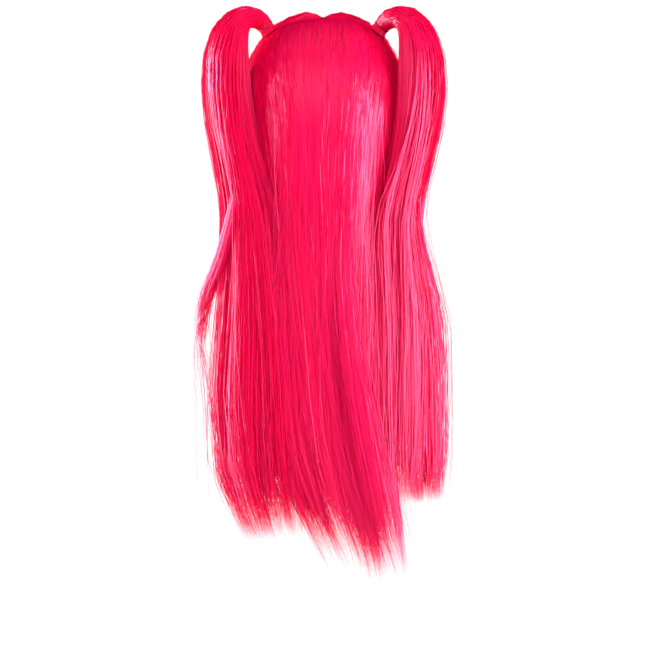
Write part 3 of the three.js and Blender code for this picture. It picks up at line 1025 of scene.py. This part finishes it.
def grid_faces(rows, columns):
    """Squares of a band of points, rows by columns, that closes round its columns."""
    r, c = np.meshgrid(np.arange(rows - 1), np.arange(columns), indexing="ij")
    n = (c + 1) % columns
    top, below = r * columns, (r + 1) * columns
    return np.stack([top + c, top + n, below + n, below + c], axis=-1)


def cap():
    turn = np.linspace(0, 2 * np.pi, CAP_COLUMNS, endpoint=False)[None, :]
    folded = np.degrees(np.abs((turn + np.pi) % (2 * np.pi) - np.pi))
    rim = np.interp(folded, RIM_TURN, RIM_DROP)
    outside = np.linspace(CAP_TOP, 1, CAP_ROWS)[:, None]
    drop = rim * np.concatenate([outside, outside[::-1]])
    is_inside = (np.arange(2 * CAP_ROWS) >= CAP_ROWS)[:, None]
    rib = np.maximum(np.cos(drop / ROW_PITCH * 2 * np.pi), 0) ** 3 * ROW_HEIGHT
    edge = ease(1 - (rim - drop) / BINDING) * BINDING_RISE
    rise = np.where(is_inside, CAP_INSIDE - rib * (drop > FIRST_ROW) - edge, CAP_WALL + edge)
    points = dome(turn + 0 * drop, drop, np.repeat(rise[..., None], 3, axis=-1))
    rows = 2 * CAP_ROWS
    faces = grid_faces(rows, CAP_COLUMNS).reshape(-1, 4).tolist()
    faces.append(list(range(CAP_COLUMNS))[::-1])
    faces.append([(rows - 1) * CAP_COLUMNS + c for c in range(CAP_COLUMNS)])
    mesh = bpy.data.meshes.new("knit_cap")
    mesh.from_pydata(points.reshape(-1, 3) * MM, [], faces)
    mesh.shade_smooth()
    mesh.materials.append(CAP)
    return place("knit_cap", mesh, ["cap"], "cap")


cap()

# %% [markdown]
# ## The elastics
#
# Each neck is held by a small covered elastic. Its cover is knitted round a rubber cord, so the ring
# shows slanted ribs; they are made by letting the cord's radius rise and fall round the ring.

# %% Elastics
TIE_CORD, TIE_GAP = 1.0, -0.2
TIE_STEPS, TIE_SIDES = 168, 16
TIE_RIBS, TIE_RIB_RISE = 42, 0.07
TIE_DARK, TIE_PALE = (0.36, 0.0, 0.022, 1), (0.58, 0.001, 0.04, 1)


def tie_finish():
    finish = Finish("covered_elastic")
    where = finish.node("ShaderNodeTexCoord", None, None, output=3)
    fuzz = finish.node("ShaderNodeTexNoise", None, {"Vector": where, "Scale": 900.0, "Detail": 3.0})
    colour = finish.blend(fuzz, TIE_DARK, TIE_PALE)
    raised = finish.node("ShaderNodeBump", None, {"Strength": 0.4, "Distance": 0.0003, "Height": fuzz})
    return finish.close({"Base Color": colour, "Roughness": 0.62 + fuzz * 0.2, "Normal": raised})


TIE = tie_finish()


def tie(name, side):
    bundle = Bundle(ARCH, side)
    middle, wide = bundle.line[ROW_STEPS, :3], bundle.line[ROW_STEPS, 3]
    across, through = bundle.across[ROW_STEPS], bundle.through[ROW_STEPS]
    axis = np.cross(across, through)
    turn, round_cord = np.meshgrid(
        np.linspace(0, 2 * np.pi, TIE_STEPS, endpoint=False),
        np.linspace(0, 2 * np.pi, TIE_SIDES, endpoint=False), indexing="ij",
    )
    cord = TIE_CORD * (1 + TIE_RIB_RISE * np.cos(TIE_RIBS * turn + 2 * round_cord))
    ring = wide + TIE_GAP + TIE_CORD + cord * np.cos(round_cord)
    points = (
        middle + across * (ring * np.cos(turn))[..., None] + through * (ring * np.sin(turn))[..., None]
        + axis * (cord * np.sin(round_cord))[..., None]
    )
    r, c = np.meshgrid(np.arange(TIE_STEPS), np.arange(TIE_SIDES), indexing="ij")
    this, following = r * TIE_SIDES, (r + 1) % TIE_STEPS * TIE_SIDES
    n = (c + 1) % TIE_SIDES
    faces = np.stack([this + c, following + c, following + n, this + n], axis=-1)
    mesh = bpy.data.meshes.new(name)
    mesh.from_pydata(points.reshape(-1, 3) * MM, [], faces.reshape(-1, 4).tolist())
    mesh.shade_smooth()
    mesh.materials.append(TIE)
    return place(name + "_elastic", mesh, [name], "tie")


tie("tie_left", 1)
tie("tie_right", -1)

# %% [markdown]
# ## Studio
#
# The wig hangs well above a plain pale floor, in the form that it has in use. Two large soft lights
# stand low, one on the viewer's right and one a little beyond the wig on the left, so that their sheen
# runs down the hair in long bands. Three weaker ones, on the viewer's side, on the far side and above,
# lift the shadows and are kept out of reflections, which would grey the colour. The white sky is there
# for the camera only. The camera is level with the middle of the hair and far enough away for a long
# lens.

# %% Floor, light and camera
FLOOR_DROP, FLOOR_HALF = -1250.0, 1700.0
VIEW_PLANE, VIEW_WIDTH = 95.0, 665.0
VIEW_MIDDLE = (-9.0, -306.5)
LENS, SENSOR = 400.0, 36.0
SKY_STRENGTH = 1.05
LIT_PLACE = (0.0, 0.05, -0.25)
LIGHTS = [
    # name, place in metres, size in metres, watts, shows in reflections
    ("light_right", (-2.25, 1.1, -0.05), 2.2, 120, True),
    ("light_left", (2.44, -0.6, -0.05), 2.2, 170, True),
    ("fill_behind", (0.5, 1.8, 1.0), 1.8, 41, False),
    ("fill_front", (0.0, -3.2, 0.3), 2.4, 74, False),
    ("fill_top", (0.0, 0.2, 2.6), 2.4, 15, False),
]


def floor_finish():
    finish = Finish("studio_floor")
    where = finish.node("ShaderNodeTexCoord", None, None, output=3)
    grain = finish.node("ShaderNodeTexNoise", None, {"Vector": where, "Scale": 6.0, "Detail": 3.0})
    colour = finish.blend(grain, (0.95, 0.95, 0.95, 1), (0.97, 0.97, 0.97, 1))
    return finish.close({"Base Color": colour, "Roughness": 0.9, "Specular IOR Level": 0.1})


def floor():
    half, z = FLOOR_HALF * MM, FLOOR_DROP * MM
    mesh = bpy.data.meshes.new("studio_floor")
    corners = [(-half, -half, z), (half, -half, z), (half, half, z), (-half, half, z)]
    mesh.from_pydata(corners, [], [(0, 1, 2, 3)])
    mesh.materials.append(floor_finish())
    piece = bpy.data.objects.new("studio_floor", mesh)
    bpy.context.scene.collection.objects.link(piece)
    piece.visible_glossy = False
    piece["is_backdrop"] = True


def look_at(obj, place_m, target_m):
    obj.location = place_m
    obj.rotation_mode = "QUATERNION"
    obj.rotation_quaternion = (Vector(target_m) - Vector(place_m)).to_track_quat("-Z", "Y")


def soft_light(name, place_m, size, power, shines):
    lamp = bpy.data.lights.new(name, "AREA")
    lamp.shape = "DISK"
    lamp.size = size
    lamp.energy = power
    obj = bpy.data.objects.new(name, lamp)
    bpy.context.scene.collection.objects.link(obj)
    obj.visible_glossy = shines
    look_at(obj, place_m, LIT_PLACE)


def sky():
    world = bpy.data.worlds.new("studio_sky")
    world.use_nodes = True
    background = world.node_tree.nodes["Background"]
    background.inputs["Color"].default_value = (1, 1, 1, 1)
    background.inputs["Strength"].default_value = SKY_STRENGTH
    world.cycles_visibility.diffuse = world.cycles_visibility.glossy = False
    bpy.context.scene.world = world


def camera():
    data = bpy.data.cameras.new("camera")
    data.lens, data.sensor_width = LENS, SENSOR
    obj = bpy.data.objects.new("camera", data)
    bpy.context.scene.collection.objects.link(obj)
    away = VIEW_WIDTH * LENS / SENSOR
    x, z = (value * MM for value in VIEW_MIDDLE)
    look_at(obj, (x, (VIEW_PLANE + away) * MM, z), (x, 0.0, z))
    bpy.context.scene.camera = obj


floor()
sky()
camera()
for light in LIGHTS:
    soft_light(*light)
bpy.context.scene.view_settings.view_transform = "Standard"
print("camera at", tuple(round(v, 3) for v in bpy.context.scene.camera.location))

# %% [markdown]
# ## Sizes
# Blender only dresses the model, so the dressed box must stay close to the model's own. The model's
# box and the dressed box are printed, with the number of triangles. Both are written down to be
# compared.

# %% Sizes
boxes = {"cad": [list(corner) for corner in MODEL_BOX], "visual": [list(corner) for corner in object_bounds()]}
print("triangles in all:", sum(TRIANGLES.values()))
for key, corners in boxes.items():
    print(key, [[round(v * 1000, 1) for v in corner] for corner in corners])
